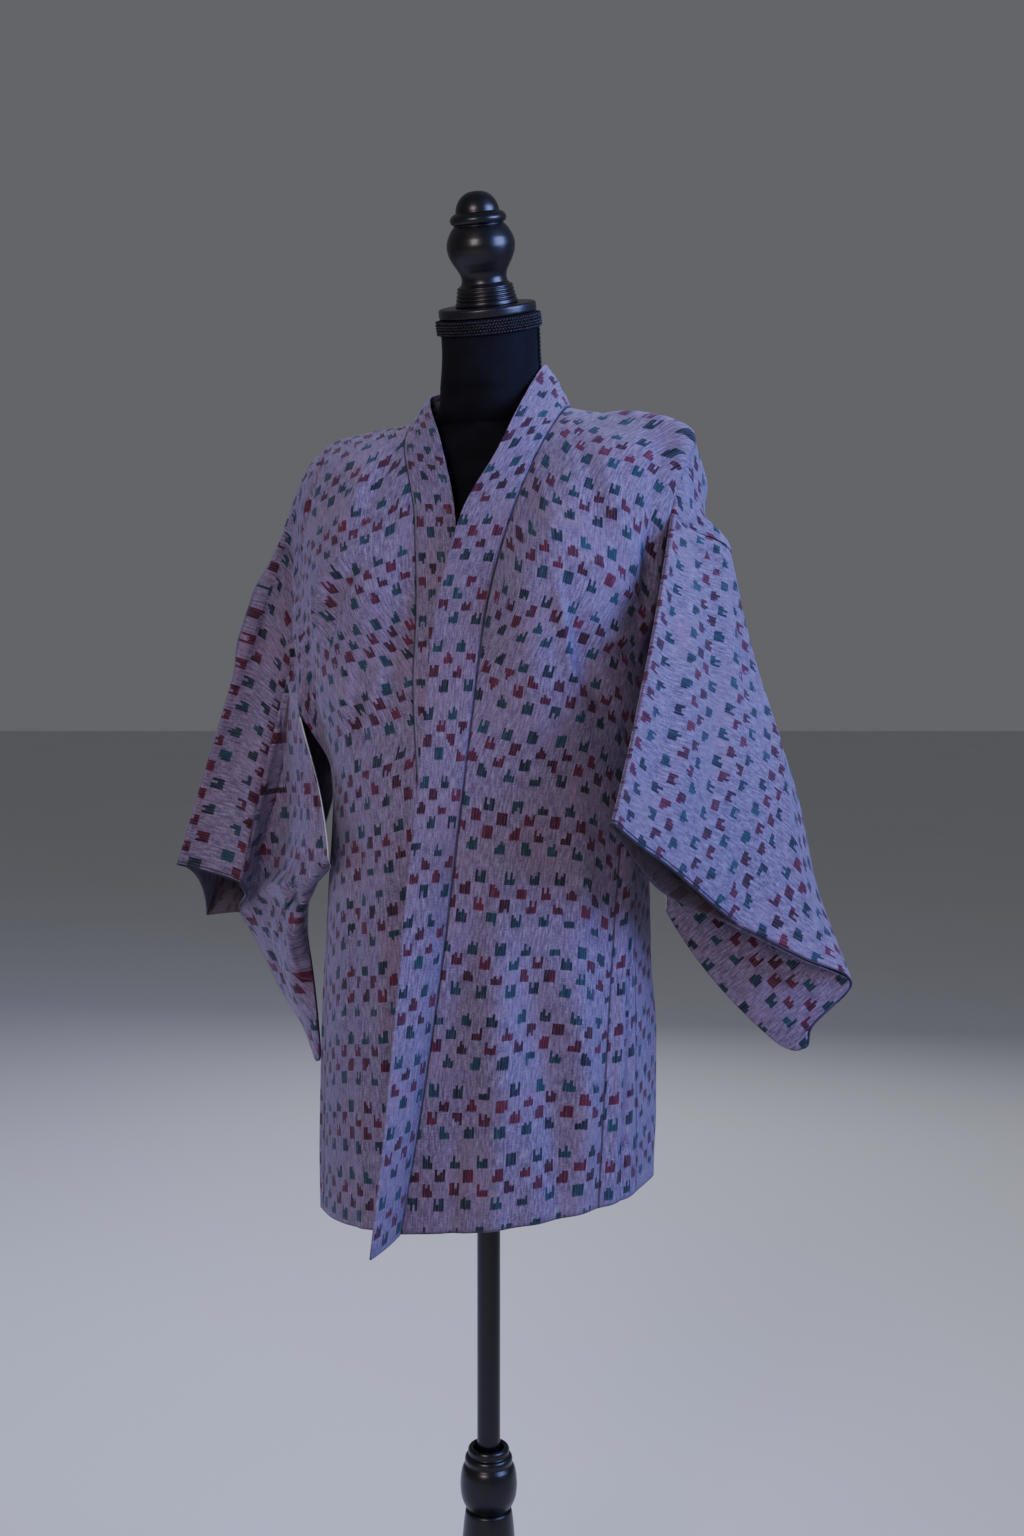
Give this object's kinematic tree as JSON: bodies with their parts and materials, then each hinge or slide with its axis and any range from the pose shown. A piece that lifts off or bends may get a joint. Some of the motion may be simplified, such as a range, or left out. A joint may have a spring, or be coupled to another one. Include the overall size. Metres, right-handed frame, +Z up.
{
  "type": "haori jacket on a limbless dress form",
  "caption": "Kimono jacket with hanging pocket sleeves and a folded collar band, worn closed on a padded limbless dress form with a turned finial, pole and pedestal.",
  "frame": {"origin": "centre of the pedestal's underside, on the floor and on the axis of the pole", "axes": "+Z up the pole; the form faces -Y, so +X is the wearer's left"},
  "size_m": [0.7292, 0.3831, 1.6055],
  "materials": {
    "kasuri_cloth": "plain-woven crepe with small ikat squares",
    "band_cloth": "the same cloth, folded double for the collar",
    "black_velvet": "short-pile black cover",
    "black_gimp": "knotted braid",
    "black_lacquer": "glossy black lacquer",
    "black_steel": "gloss black paint"
  },
  "bodies": {
    "root": {"body_panel_left": "kasuri_cloth", "body_panel_right": "kasuri_cloth", "gusset_left": "kasuri_cloth", "gusset_right": "kasuri_cloth", "sleeve_left": "kasuri_cloth", "sleeve_right": "kasuri_cloth", "collar_band": "band_cloth", "form_torso": "black_velvet", "neck_trim": "black_gimp", "neck_cap": "black_lacquer", "finial": "black_lacquer", "pole": "black_steel", "base_hub": "black_lacquer", "base_foot": "black_lacquer"}
  },
  "joints": []
}
